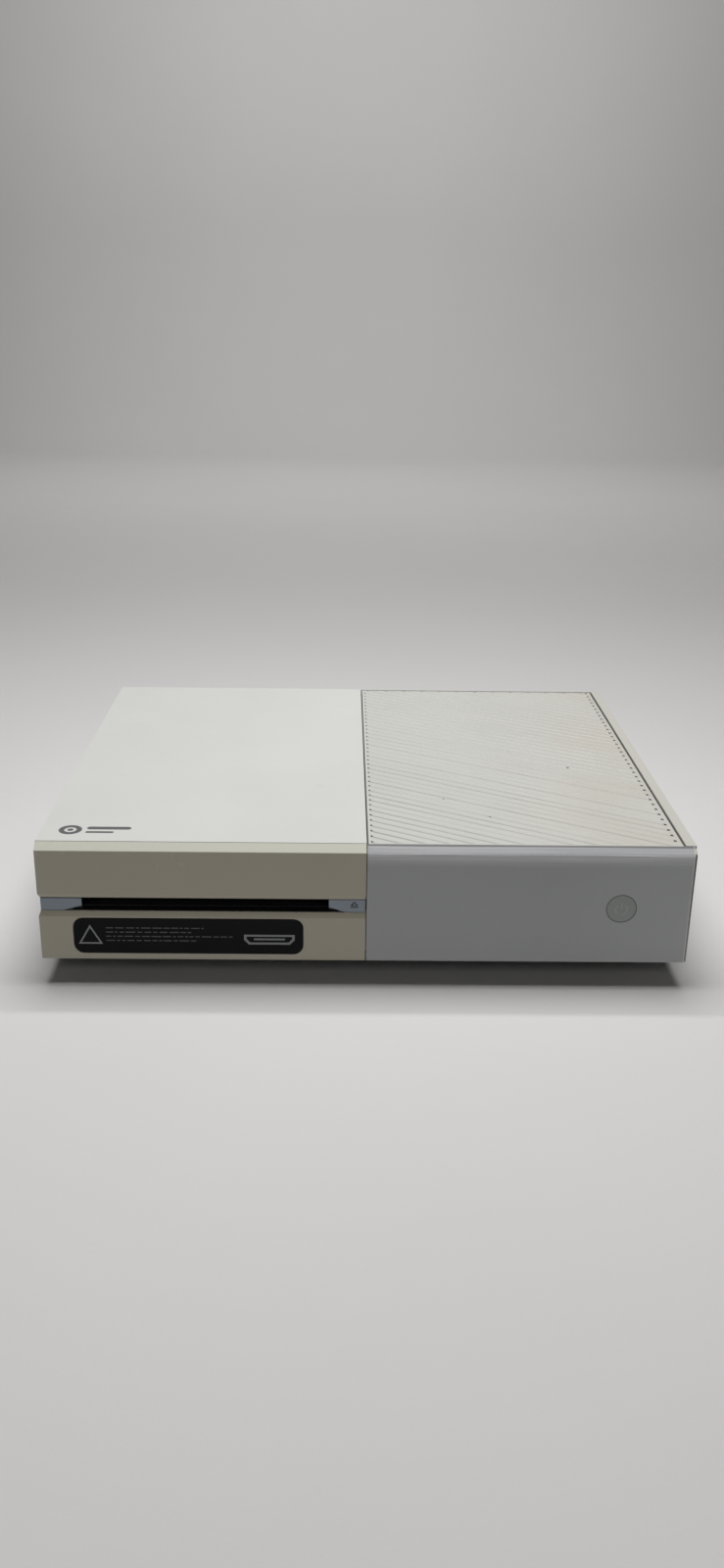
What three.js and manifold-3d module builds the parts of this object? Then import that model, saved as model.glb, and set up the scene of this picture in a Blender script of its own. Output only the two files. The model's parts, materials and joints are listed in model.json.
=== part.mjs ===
// Slot-loading game console, low rectangular box, 333 x 274 x 79 mm.
// Units are millimetres. +X is the console's right, +Y its rear, +Z up.
// The origin is the centre of the footprint, at the level that the feet stand on.
import * as THREE from "three";
import { mergeVertices } from "three/addons/utils/BufferGeometryUtils.js";
import Module from "manifold-3d";

const wasm = await Module();
wasm.setup();

// ---------------------------------------------------------------- driving dimensions
const WIDTH = 333; // overall, along X
const DEPTH = 274; // overall, along Y
const HEIGHT = 79; // overall, feet to lid
const X1 = WIDTH / 2; // side faces at +-166.5
const Y1 = DEPTH / 2; // front and rear faces at -+137
const CASE_Z = 14.8; // lower edge of the casing; the plinth and feet are below it
const WALL = 2.5; // casing wall
const LID = 2.8; // thickness of the lid
const GAP = 0.3; // assembly gap between pieces
const CHAMFER_Y = 4.0; // depth of the chamfer on the upper front edge
const CHAMFER_Z = 3.7; // height of that chamfer
const BEZEL_BACK = -133.15; // rear plane of both front bezels
const LID_FRONT = -132.85; // front edge of the lid
const SEAM_L = -0.3; // left-hand bezel ends here
const SEAM_R = 0.8; // right-hand bezel starts here

const BAND_LO = 42.0; // recessed band that holds the disc slot
const BAND_HI = 48.8;
const BAND_Y = -136; // face of the band, 1 mm behind the front
const LIP_HI = 51.3; // where the upper lip bevel meets the front face
const LIP_LO = 38.9; // where the lower lip bevel meets the front face
const SLOT = { x0: -144.6, x1: -19.1, z0: 43.0, z1: 48.8 }; // disc slot, 125.5 mm wide

const LABEL = { x0: -149.4, x1: -32.2, z0: 18.3, z1: 38.0, r: 5 };
const POWER = { x: 130.3, z: 45.5, r: 7.55 }; // touch button

const GRILLE = { x0: 0.9, x1: 160.2, y0: -132.8, y1: 135.7, z1: 78.6, t: 2.5 };
const VENT_PITCH = 7.2; // slot pitch along Y, and along the long side of each vent
const VENT_SLOT = 3.0; // slot width, same direction
const VENT_ANGLE = 30; // slots run this many degrees off the X axis, towards the front on the right

const SIDE_VENT = { y0: -50, y1: 118, z0: 21, z1: 69.7 };
const PORTS = { x: 140, z0: 21, z1: 45 };
const REAR_VENT = { x: 140, z0: 50, z1: 70 };

const PLINTH = { x0: 146, x1: 138, yf0: -112, yf1: -104, yr0: 120, yr1: 112, z0: 15.0, z1: 3.3, wall: 2.2 };
const FOOT = { x: 118, yf: -86, yr: 94, l: 30, w: 14, h: 3.0 };
const BOSS = { x: 160, yf: -75, yr: 130, r: 3.6, bore: 1.7 };

const DISC_X = (SLOT.x0 + SLOT.x1) / 2; // disc centre line, -81.85
const DISC_Y = -50;
const DRIVE = { x0: -150, x1: -14, y0: -130, y1: 40, z0: 32, z1: 57, t: 1.2 };
const SLED = { y: -24, travel: 34, z: 38.2, rod: -101.85, screw: -61.85, r: 1.5 };
const ROLLER = { y: -121.8, z: 39.9, r: 3.3, half: 56.5 };

const FAN = { x: 87, y: 0, z0: 48, z1: 69, r: 60, bore: 57.3, blades: 11, tip: 55.6, hub: 19 };
const BIND = { y: -112, z: 45.3, r: 3.5 };
const SIDE_PORT = { y: -101, z: 28.5 };
const BOARD_Z = 25.6; // top face of the motherboard
const HDD = { x0: -148, x1: -48, y0: 44, y1: 114, z0: 44, z1: 51.5 };
const PLATTER = { x: -111, y: 79, r: 32.5 };
const ARM = { x: -64, y: 94, length: 45, parked: 239.7 };

// ---------------------------------------------------------------- solids
// Closed three.js geometry to a solid: only positions, shared vertices, no collapsed triangles.
function solid(geometry) {
  const g = geometry.clone();
  for (const a of Object.keys(g.attributes)) if (a !== "position") g.deleteAttribute(a);
  const m = mergeVertices(g, 1e-4);
  const index = [];
  for (let i = 0; i < m.index.count; i += 3) {
    const [a, b, c] = [0, 1, 2].map((k) => m.index.getX(i + k));
    if (a !== b && b !== c && a !== c) index.push(a, b, c);
  }
  return new wasm.Manifold(
    new wasm.Mesh({
      numProp: 3,
      vertProperties: new Float32Array(m.attributes.position.array),
      triVerts: new Uint32Array(index),
    }),
  );
}
const join = (...s) => s.flat().reduce((a, b) => a.add(b));
const cut = (a, ...s) => s.flat().reduce((x, y) => x.subtract(y), a);

const boxGeometry = (x0, x1, y0, y1, z0, z1) =>
  new THREE.BoxGeometry(x1 - x0, y1 - y0, z1 - z0).translate((x0 + x1) / 2, (y0 + y1) / 2, (z0 + z1) / 2);
const box = (...a) => solid(boxGeometry(...a));

// Round bar along an axis from a to b, with its centre line at c: c is [y, z], [x, z] or [x, y].
function rod(axis, r, a, b, c = [0, 0], n = 24, r2 = r) {
  const g = new THREE.CylinderGeometry(r2, r, b - a, n);
  const m = (a + b) / 2;
  if (axis === "x") g.rotateZ(-Math.PI / 2).translate(m, c[0], c[1]);
  if (axis === "y") g.translate(c[0], m, c[1]);
  if (axis === "z") g.rotateX(Math.PI / 2).translate(c[0], c[1], m);
  return solid(g);
}

// Prism of an outline along an axis: the outline is in (y, z) for x, (x, z) for y and (x, y) for z.
function prism(axis, points, a, b) {
  const p = points.map(([u, v]) => (axis === "y" ? new THREE.Vector2(v, u) : new THREE.Vector2(u, v)));
  const g = new THREE.ExtrudeGeometry(new THREE.Shape(p), { depth: b - a, bevelEnabled: false });
  const basis = new THREE.Matrix4();
  const [x, y, z] = [new THREE.Vector3(1, 0, 0), new THREE.Vector3(0, 1, 0), new THREE.Vector3(0, 0, 1)];
  if (axis === "x") g.applyMatrix4(basis.makeBasis(y, z, x)).translate(a, 0, 0);
  if (axis === "y") g.applyMatrix4(basis.makeBasis(z, x, y)).translate(0, a, 0);
  if (axis === "z") g.translate(0, 0, a);
  return solid(g);
}

// Rectangle outline with round corners.
function roundRect(u0, u1, v0, v1, r, n = 4) {
  const out = [];
  for (const [cu, cv, start] of [
    [u1 - r, v0 + r, -90],
    [u1 - r, v1 - r, 0],
    [u0 + r, v1 - r, 90],
    [u0 + r, v0 + r, 180],
  ])
    for (let i = 0; i <= n; i++) {
      const t = ((start + (90 * i) / n) * Math.PI) / 180;
      out.push([cu + r * Math.cos(t), cv + r * Math.sin(t)]);
    }
  return out;
}

// Solid of revolution about Z: profile is [radius, z], from the axis back to the axis.
const lathe = (profile, n = 24) =>
  solid(new THREE.LatheGeometry(profile.map(([r, z]) => new THREE.Vector2(r, z)), n).rotateX(Math.PI / 2));

// Four-sided block with a different outline at its two levels.
function taper(top, z0, bottom, z1) {
  const g = boxGeometry(-1, 1, -1, 1, -1, 1);
  const p = g.attributes.position;
  for (let i = 0; i < p.count; i++) {
    const o = p.getZ(i) > 0 ? top : bottom;
    p.setXYZ(i, p.getX(i) > 0 ? o[1] : o[0], p.getY(i) > 0 ? o[3] : o[2], p.getZ(i) > 0 ? z0 : z1);
  }
  return solid(g);
}

// Slanted vent slots that fill a rectangle (u0..u1 by v0..v1): each slot is a parallelogram outline with its ends along v.
// The slots fall by slope per unit of u, at the given pitch and width along v.
function slots(u0, u1, v0, v1, { pitch = VENT_PITCH, width = VENT_SLOT, slope = Math.tan((VENT_ANGLE * Math.PI) / 180), phase = 0 } = {}) {
  const out = [];
  const fall = slope * (u1 - u0);
  for (let v = v0 - pitch + phase; v < v1 + fall + pitch; v += pitch) {
    // clip the band between the lines v and v + width (at u0) to the rectangle
    let poly = [
      [u0, v],
      [u1, v - fall],
      [u1, v - fall + width],
      [u0, v + width],
    ];
    for (const [keep, edge] of [
      [(q) => q[1] >= v0, v0],
      [(q) => q[1] <= v1, v1],
    ]) {
      const next = [];
      poly.forEach((q, i) => {
        const r = poly[(i + 1) % poly.length];
        if (keep(q)) next.push(q);
        if (keep(q) !== keep(r)) {
          const t = (edge - q[1]) / (r[1] - q[1]);
          next.push([q[0] + t * (r[0] - q[0]), edge]);
        }
      });
      poly = next;
      if (poly.length < 3) break;
    }
    if (poly.length < 3) continue;
    const area = Math.abs(poly.reduce((s, q, i) => { const r = poly[(i + 1) % poly.length]; return s + q[0] * r[1] - r[0] * q[1]; }, 0)) / 2;
    if (area > 6) out.push(poly);
  }
  return out;
}

// ---------------------------------------------------------------- finishes
const finish = {
  white: { color: 0xdedcd2, roughness: 0.45, metalness: 0 },
  whiteGloss: { color: 0xd8d4c6, roughness: 0.22, metalness: 0 },
  film: { color: 0x9aa0a8, roughness: 0.35, metalness: 0 },
  greyGloss: { color: 0x5f686d, roughness: 0.3, metalness: 0 },
  label: { color: 0x17191d, roughness: 0.5, metalness: 0 },
  black: { color: 0x1d1e20, roughness: 0.55, metalness: 0 },
  rubber: { color: 0x161616, roughness: 0.85, metalness: 0 },
  steel: { color: 0xa9adb0, roughness: 0.4, metalness: 0.9 },
  alloy: { color: 0xb9bcc0, roughness: 0.35, metalness: 0.9 },
  board: { color: 0x1e4a33, roughness: 0.5, metalness: 0 },
  felt: { color: 0x101012, roughness: 0.95, metalness: 0 },
  nickel: { color: 0xc5c4bf, roughness: 0.25, metalness: 1 },
  brass: { color: 0xb59a55, roughness: 0.35, metalness: 1 },
};

const console_ = new THREE.Group();
const group = (parent = console_) => {
  const g = new THREE.Group();
  parent.add(g);
  return g;
};
function piece(parent, name, s, look, position = [0, 0, 0], rotation = [0, 0, 0]) {
  const m = s.getMesh();
  const g = new THREE.BufferGeometry();
  g.setAttribute("position", new THREE.BufferAttribute(new Float32Array(m.vertProperties), 3));
  g.setIndex(new THREE.BufferAttribute(new Uint32Array(m.triVerts), 1));
  const flat = g.toNonIndexed();
  flat.computeVertexNormals();
  const mesh = new THREE.Mesh(flat, new THREE.MeshStandardMaterial(finish[look]));
  mesh.name = name;
  mesh.position.set(...position);
  mesh.rotation.set(...rotation);
  parent.add(mesh);
  return mesh;
}

// ---------------------------------------------------------------- casing
const casing = group();

// Groove with bevelled lips: outlines of what it removes, from the front face and from the left side face.
const lipUp = (LIP_HI - 49.2) / 1.0;
const lipDown = (41.5 - LIP_LO) / 1.0;
const frontGroove = prism("x", [[-136, 49.2], [-136, 41.5], [-138.5, 41.5 - 2.5 * lipDown], [-138.5, 49.2 + 2.5 * lipUp]], -170, 4);
const sideGroove = prism("y", [[-X1 + 1, 49.2], [-X1 + 1, 41.5], [-X1 - 1.5, 41.5 - 2.5 * lipDown], [-X1 - 1.5, 49.2 + 2.5 * lipUp]], -140, -92);

// Lid, side walls and rear wall in one shell, open at the front and below. The right half of the lid is an opening for the vent.
let shell = box(-X1, X1, LID_FRONT, Y1, CASE_Z, HEIGHT);
shell = cut(shell, box(-X1 + WALL, X1 - WALL, -145, Y1 - WALL, 5, HEIGHT - LID));
shell = cut(shell, box(-0.2, GRILLE.x1 + 1.0, -145, 136.0, 75, HEIGHT + 2));
shell = join(
  shell,
  box(-3, 0, LID_FRONT, Y1 - WALL, 73, HEIGHT - LID), // ledges that the vent sits on
  box(-0.5, 3, LID_FRONT, Y1 - WALL, 73, 75.8),
  box(158, X1 - WALL + 0.2, LID_FRONT, Y1 - WALL, 73, 75.8),
  box(-1, 160, 132, Y1 - WALL + 0.2, 73, 75.8),
  box(-1, 160, LID_FRONT, -130.3, 73, 75.8),
);
for (const x of [-BOSS.x, BOSS.x])
  for (const y of [BOSS.yf, BOSS.yr]) {
    shell = join(shell, rod("z", BOSS.r, 17.8, x > 0 ? 75 : HEIGHT - LID + 0.2, [x, y], 12));
    shell = cut(shell, rod("z", BOSS.bore, 17, 34, [x, y], 8));
  }
shell = cut(
  shell,
  sideGroove,
  box(-X1 - 1, -X1 + WALL + 0.1, SIDE_VENT.y0, SIDE_VENT.y1, SIDE_VENT.z0, SIDE_VENT.z1),
  box(X1 - WALL - 0.1, X1 + 1, SIDE_VENT.y0, SIDE_VENT.y1, SIDE_VENT.z0, SIDE_VENT.z1),
  box(-PORTS.x, PORTS.x, Y1 - WALL - 0.1, Y1 + 1, PORTS.z0, PORTS.z1),
  box(-REAR_VENT.x, REAR_VENT.x, Y1 - WALL - 0.1, Y1 + 1, REAR_VENT.z0, REAR_VENT.z1),
  rod("x", BIND.r + 0.4, -X1 - 1, -X1 + WALL + 0.1, [BIND.y, BIND.z], 20),
  box(-X1 - 1, -X1 + WALL + 0.1, SIDE_PORT.y - 7.5, SIDE_PORT.y + 7.5, SIDE_PORT.z - 3.8, SIDE_PORT.z + 3.8),
);
piece(casing, "upper_case", shell, "white");

// Slotted plate over the right half.
let grille = box(GRILLE.x0, GRILLE.x1, GRILLE.y0, GRILLE.y1, GRILLE.z1 - GRILLE.t, GRILLE.z1);
for (const p of slots(2.4, 157.8, GRILLE.y0 + 2.2, GRILLE.y1 - 2.2)) grille = cut(grille, prism("z", p, GRILLE.z1 - GRILLE.t - 1, GRILLE.z1 + 1));
piece(casing, "top_vent_grille", grille, "white");

// Front bezels: the same section, with the chamfer along the upper edge.
const bezelSection = (y, z) => [
  [y, CASE_Z],
  [y, HEIGHT - CHAMFER_Z - z],
  [BEZEL_BACK, HEIGHT - CHAMFER_Z - z + ((BEZEL_BACK - y) * CHAMFER_Z) / CHAMFER_Y],
  [BEZEL_BACK, CASE_Z],
];
let bezel = prism("x", bezelSection(-Y1, 0), -X1, SEAM_L);
bezel = cut(
  bezel,
  frontGroove,
  sideGroove,
  box(-170, -149.5, -136.5, -134.5, BAND_LO - GAP, BAND_HI + GAP),
  box(-14.2, 4, -136.5, -134.5, BAND_LO - GAP, BAND_HI + GAP),
  prism("x", [[-136.5, BAND_HI + GAP], [-134.5, BAND_HI + GAP], [-134.5, SLOT.z0], [-136.5, 41.13]], -149.6, -14.1),
  box(SLOT.x0, SLOT.x1, -140, -130, SLOT.z0, SLOT.z1),
  prism("y", roundRect(LABEL.x0 - GAP, LABEL.x1 + GAP, LABEL.z0 - GAP, LABEL.z1 + GAP, LABEL.r + GAP), -138, -136.1),
);
piece(casing, "disc_bezel", bezel, "whiteGloss");

// Fillers at the two ends of the disc slot. The right one is the touch area that ejects the disc.
piece(
  casing,
  "slot_end_left",
  prism("y", [[-165.4, BAND_LO], [-153.9, BAND_LO], [SLOT.x0, 44.7], [SLOT.x0, BAND_HI], [-165.4, BAND_HI]], BAND_Y, -134.8),
  "greyGloss",
);
piece(
  casing,
  "eject_button",
  prism("y", [[-0.5, BAND_LO], [-0.5, BAND_HI], [SLOT.x1, BAND_HI], [SLOT.x1, 44.7], [-10.6, BAND_LO]], BAND_Y, -134.8),
  "greyGloss",
);
piece(casing, "front_label", prism("y", roundRect(LABEL.x0, LABEL.x1, LABEL.z0, LABEL.z1, LABEL.r), -Y1, -136.4), "label");

// Right-hand bezel, set back by the thickness of the clear film over it.
const FILM_T = 0.3;
const panelY = -Y1 + 2 * FILM_T;
let panel = prism("x", bezelSection(panelY, 0.56), SEAM_R, X1);
panel = cut(panel, rod("y", POWER.r + 0.35, -140, -130, [POWER.x, POWER.z], 32));
panel = join(panel, box(-6, 4, -132.8, -131.8, 18, 72.5), box(1.2, 4, -133.4, -132.5, 18, 72.5)); // flap that closes the centre seam from behind
piece(casing, "power_panel", panel, "whiteGloss");
piece(casing, "power_button", rod("y", POWER.r, -Y1, -134.3, [POWER.x, POWER.z], 32), "greyGloss");

// Protective film: it covers the flat face and folds back over the chamfer.
const filmSection = (() => {
  const s = CHAMFER_Z / CHAMFER_Y;
  const zt = HEIGHT - CHAMFER_Z;
  const yi = -Y1 + FILM_T;
  const drop = FILM_T * (Math.sqrt(1 + s * s) - s);
  return [
    [-Y1, CASE_Z],
    [-Y1, zt],
    [BEZEL_BACK, zt + (BEZEL_BACK + Y1) * s],
    [BEZEL_BACK, zt + (BEZEL_BACK + Y1) * s - FILM_T * Math.sqrt(1 + s * s)],
    [yi, zt - drop],
    [yi, CASE_Z],
  ];
})();
piece(casing, "front_film", cut(prism("x", filmSection, 0.7, 165.3), rod("y", POWER.r + 0.2, -140, -130, [POWER.x, POWER.z], 32)), "film");

// Slotted side panels: a plate in the wall opening, and a flange behind the wall.
for (const [name, side] of [["side_vent_left", -1], ["side_vent_right", 1]]) {
  const v = SIDE_VENT;
  const span = (a, b) => (side > 0 ? [a, b] : [-b, -a]);
  let vent = join(
    box(...span(163.5, 166.2), v.y0 + GAP, v.y1 - GAP, v.z0 + GAP, v.z1 - GAP),
    box(...span(162.4, 163.7), v.y0 - 3, v.y1 + 3, v.z0 - 2.7, v.z1 + 2.7),
  );
  for (const p of slots(v.z0 + 4, v.z1 - 4, v.y0 + 5, v.y1 - 5, { slope: 0.6, pitch: 7.2, width: 3.4 }))
    vent = cut(vent, prism("x", p.map(([z, y]) => [y, z]), ...span(160, 168)));
  piece(casing, name, vent, "white");
}

// Rear exhaust vent and the panel round the sockets, both held behind the rear wall.
let rearVent = join(
  box(-REAR_VENT.x + GAP, REAR_VENT.x - GAP, 134.0, 136.7, REAR_VENT.z0 + GAP, REAR_VENT.z1 - GAP),
  box(-143, 143, 132.9, 134.2, REAR_VENT.z0 - 2, REAR_VENT.z1 + 2.7),
);
for (const p of slots(REAR_VENT.z0 + 2.5, REAR_VENT.z1 - 2.5, -136, 136, { slope: 0.5, pitch: 8, width: 4.2 }))
  rearVent = cut(rearVent, prism("y", p.map(([z, x]) => [x, z]), 130, 140));
piece(casing, "rear_vent", rearVent, "black");

// Sockets: name, centre x, outer width, outer height. All stand 0.3 mm above the motherboard.
const SOCKETS = {
  dc_inlet: { x: 118, w: 24, h: 16 },
  video_out_port: { x: 87, w: 15.6, h: 7.2 },
  optical_audio_port: { x: 66, w: 10.6, h: 11 },
  video_in_port: { x: 45, w: 15.6, h: 7.2 },
  usb_port_rear: { x: 20, w: 14.8, h: 16.6 },
  sensor_port: { x: -8, w: 15.6, h: 11.4 },
  ir_jack: { x: -31, w: 8.4, h: 8.4 },
  ethernet_port: { x: -56, w: 16.6, h: 14 },
};
const SOCKET_Z = BOARD_Z + GAP;
let portPanel = join(
  box(-PORTS.x + GAP, PORTS.x - GAP, 134.0, 136.7, PORTS.z0 + GAP, PORTS.z1 - GAP),
  box(-143, 143, 132.9, 134.2, PORTS.z0 - 2.7, PORTS.z1 + 2.4),
);
for (const s of Object.values(SOCKETS))
  portPanel = cut(portPanel, box(s.x - s.w / 2 - GAP, s.x + s.w / 2 + GAP, 130, 140, SOCKET_Z - GAP, SOCKET_Z + s.h + GAP));
portPanel = cut(portPanel, prism("y", roundRect(-123.5, -116.5, 31.5, 34.5, 1.2, 2), 130, 140)); // lock slot
piece(casing, "rear_port_panel", portPanel, "black");

// Floor of the casing: a plate inside the walls, and a plinth below it that narrows downwards.
const P = PLINTH;
let floor = join(
  box(-X1 + WALL + GAP, X1 - WALL - GAP, LID_FRONT, Y1 - WALL - GAP, P.z0, P.z0 + 2.5),
  taper([-P.x0, P.x0, P.yf0, P.yr0], P.z0 + 0.5, [-P.x1, P.x1, P.yf1, P.yr1], P.z1),
);
floor = cut(
  floor,
  taper([-P.x0 + P.wall, P.x0 - P.wall, P.yf0 + P.wall, P.yr0 - P.wall], P.z0 + 4, [-P.x1 + P.wall, P.x1 - P.wall, P.yf1 + P.wall, P.yr1 - P.wall], P.z1 + P.wall),
);
for (let i = 0; i < 11; i++) {
  const y = -45 + 9 * i;
  floor = cut(floor, box(35, 125, y, y + 3.6, 0, 8), box(-125, -35, y, y + 3.6, 0, 8));
}
for (const x of [-BOSS.x, BOSS.x]) for (const y of [BOSS.yf, BOSS.yr]) floor = cut(floor, rod("z", BOSS.bore, 10, 20, [x, y], 8));
piece(casing, "lower_case", floor, "black");

for (const [name, x, y] of [
  ["foot_front_left", -FOOT.x, FOOT.yf],
  ["foot_front_right", FOOT.x, FOOT.yf],
  ["foot_rear_left", -FOOT.x, FOOT.yr],
  ["foot_rear_right", FOOT.x, FOOT.yr],
])
  piece(casing, name, prism("z", roundRect(-FOOT.l / 2, FOOT.l / 2, -FOOT.w / 2, FOOT.w / 2, 6, 4), 0, FOOT.h), "rubber", [x, y, 0]);

// Screws up through the floor into the bosses of the shell.
const screw = () =>
  cut(join(rod("z", 3.0, -2.1, 0, [0, 0], 12), rod("z", 1.3, -0.2, 13, [0, 0], 8)), rod("z", 1.3, -3, -0.9, [0, 0], 6));
[
  [-BOSS.x, BOSS.yf],
  [BOSS.x, BOSS.yf],
  [-BOSS.x, BOSS.yr],
  [BOSS.x, BOSS.yr],
].forEach(([x, y], i) => piece(casing, "case_screw_" + (i + 1), screw(), "steel", [x, y, P.z0 - GAP]));

// Pairing button in the groove of the left side: it travels 0.8 mm inwards on to its switch.
piece(
  casing,
  "bind_button",
  join(rod("x", BIND.r, 0, 2.4, [0, 0], 20), rod("x", BIND.r + 1.0, 2.3, 3.3, [0, 0], 20), rod("x", 1.2, 3.2, 4.1, [0, 0], 10)),
  "whiteGloss",
  [-165.9, BIND.y, BIND.z],
);

// ---------------------------------------------------------------- chassis, boards and sockets
const chassis = group();
let tray = box(-151.5, 151.5, -128, 128.5, 18.2, 19.2);
for (const s of [-1, 1])
  for (const y of [-124, 100]) tray = join(tray, s > 0 ? box(150.3, 151.5, y, y + 20, 19, 60.7) : box(-151.5, -150.3, y, y + 20, 19, 60.7));
for (const [x, y] of [[-138, -60], [0, -60], [138, -60], [-138, 110], [0, 60], [138, 60]]) tray = join(tray, rod("z", 3, 19, 23.7, [x, y], 8));
for (const [x, y] of [[109, -101], [141, -121]]) tray = join(tray, rod("z", 2, 19, 22.7, [x, y], 8));
piece(chassis, "shield_lower", tray, "steel");

let lid = join(box(-151.5, 151.5, -128, 128.5, 61, 62), box(-151.5, -150.4, -90, 90, 56, 61.5), box(150.4, 151.5, -90, 90, 56, 61.5));
lid = cut(lid, rod("z", FAN.r + 1, 60, 63, [FAN.x, FAN.y], 32));
for (let i = 0; i < 6; i++) lid = cut(lid, box(-140 + 14 * i, -132 + 14 * i, 60, 100, 60, 63));
piece(chassis, "shield_upper", lid, "steel");

let board = box(-146, 146, -68, 131, BOARD_Z - 1.6, BOARD_Z);
const parts = [
  [87, 0, 34, 34, 1.6], [33, -55, 12, 16, 1.2], [60, -56, 12, 16, 1.2], [110, -56, 12, 16, 1.2], [139, -30, 10, 16, 1.2],
  [15, -20, 16, 16, 2], [-84, 72, 24, 24, 2.4], [-100, 20, 18, 18, 2], [-30, 90, 14, 14, 2], [-20, 30, 30, 8, 5],
  [-128, 90, 20, 8, 5], [12, 96, 10, 10, 6], [28, 96, 10, 10, 6], [70, 96, 10, 10, 6], [118, 96, 14, 12, 6], [-90, -50, 40, 8, 5],
];
for (const [x, y, w, d, h] of parts) board = join(board, box(x - w / 2, x + w / 2, y - d / 2, y + d / 2, BOARD_Z - 0.2, BOARD_Z + h));
for (const [x, y] of [[92, 84], [104, 84], [100, 96], [48, 84], [-4, 70], [-14, 70]]) board = join(board, rod("z", 4, BOARD_Z - 0.2, BOARD_Z + 10, [x, y], 10));
piece(chassis, "motherboard", board, "board");

let sink = box(37, 137, -46, 46, 27.5, 32);
for (let i = 0; i < 15; i++) sink = join(sink, box(39 + 6.8 * i, 40.4 + 6.8 * i, -46, 46, 31.5, 46.5));
sink = sink.intersect(rod("z", 50, 20, 50, [FAN.x, FAN.y], 32));
piece(chassis, "heat_sink", sink, "alloy");

let frame = cut(rod("z", FAN.r, FAN.z0, FAN.z1, [0, 0], 32), rod("z", FAN.bore, FAN.z0 - 1, FAN.z1 + 1, [0, 0], 32));
frame = join(frame, rod("z", 15, 0 + FAN.z0, FAN.z0 + 2, [0, 0], 16), box(-58.5, 58.5, -3, 3, FAN.z0, FAN.z0 + 2), box(-3, 3, -58.5, 58.5, FAN.z0, FAN.z0 + 2));
for (const a of [45, 135, 225, 315]) {
  const t = (a * Math.PI) / 180;
  frame = join(frame, rod("z", 3, SOCKET_Z, FAN.z1 - 10, [60.2 * Math.cos(t), 60.2 * Math.sin(t)], 10));
}
piece(chassis, "fan_frame", cut(frame, rod("z", 2.6, 40, 60, [0, 0], 12)), "black", [FAN.x, FAN.y, 0]);

// Fan rotor about its own axis: hub, shaft and pitched blades trimmed to the tip circle.
const blades = [];
for (let i = 0; i < FAN.blades; i++) {
  const g = new THREE.BoxGeometry(42, 23, 1.6);
  g.rotateX((38 * Math.PI) / 180).translate(36, 0, 8.4).rotateZ((2 * Math.PI * i) / FAN.blades);
  blades.push(solid(g));
}
const rotor = join(rod("z", FAN.hub, 0, 16, [0, 0], 28), rod("z", 2, -2.4, 0.2, [0, 0], 10), ...blades).intersect(rod("z", FAN.tip, -5, 18, [0, 0], 33));
piece(chassis, "fan_rotor", rotor, "black", [FAN.x, FAN.y, FAN.z0 + 2.6]);

piece(
  chassis,
  "front_board",
  join(box(106, 154, -131.3, -129.8, 24, 64), rod("y", 9, -132.6, -131.2, [POWER.x, POWER.z], 20), box(112, 124, -129.9, -126, 28, 34)),
  "board",
);
piece(chassis, "wifi_board", join(box(104, 146, -124, -98, 23, 24.4), box(110, 132, -120, -102, 24.2, 26.4), box(138, 143, -118, -104, 24.2, 27)), "board");
piece(chassis, "speaker", cut(join(box(62, 92, -122, -104, 19.5, 29), rod("z", 8, 28.8, 30.5, [77, -113], 20)), rod("z", 6.4, 29.2, 32, [77, -113], 16)), "black");
piece(chassis, "bind_switch", join(box(-160.9, -159.6, BIND.y - 3, BIND.y + 3, BIND.z - 3, BIND.z + 3), box(-159.9, -158.7, -119, -105, 36, 54)), "board");

// A socket shell: outer box, mouth to the rear, and what stands inside the mouth.
const sockets = group(chassis);
sockets.position.set(0, 0, SOCKET_Z);
const socket = (name, look, depth, mouths, inside = []) => {
  const s = SOCKETS[name];
  let m = box(-s.w / 2, s.w / 2, 136.4 - depth, 136.4, 0, s.h);
  m = cut(m, mouths);
  if (inside.length) m = join(m, inside);
  piece(sockets, name, m, look, [s.x, 0, 0]);
};
socket("dc_inlet", "black", 22, [prism("y", roundRect(-9, 9, 2.5, 13.5, 3, 3), 121, 140)], [box(-5, -3.4, 120.5, 133, 5, 11), box(3.4, 5, 120.5, 133, 5, 11)]);
for (const name of ["video_out_port", "video_in_port"])
  socket(name, "nickel", 12, [prism("y", [[-7, 6.4], [-7, 3.2], [-5.4, 1.2], [5.4, 1.2], [7, 3.2], [7, 6.4]], 126, 140)], [box(-5, 5, 125.5, 135.6, 3.6, 4.6)]);
socket("optical_audio_port", "black", 14, [box(-3.6, 3.6, 127, 140, 2, 9)]);
socket("usb_port_rear", "nickel", 18, [box(-6.6, 6.6, 122, 140, 1.2, 7), box(-6.6, 6.6, 122, 140, 9.4, 15.2)], [box(-5.6, 5.6, 121.5, 135.6, 4.4, 6.4), box(-5.6, 5.6, 121.5, 135.6, 12.6, 14.6)]);
socket("sensor_port", "nickel", 16, [prism("y", [[-6.4, 10], [-6.4, 3.4], [-4.4, 1.4], [4.4, 1.4], [6.4, 3.4], [6.4, 10]], 124, 140)], [box(-4.2, 4.2, 123.5, 135.6, 4.6, 6.8)]);
socket("ir_jack", "black", 13, [rod("y", 1.9, 125, 140, [0, 4.2], 12)]);
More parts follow.
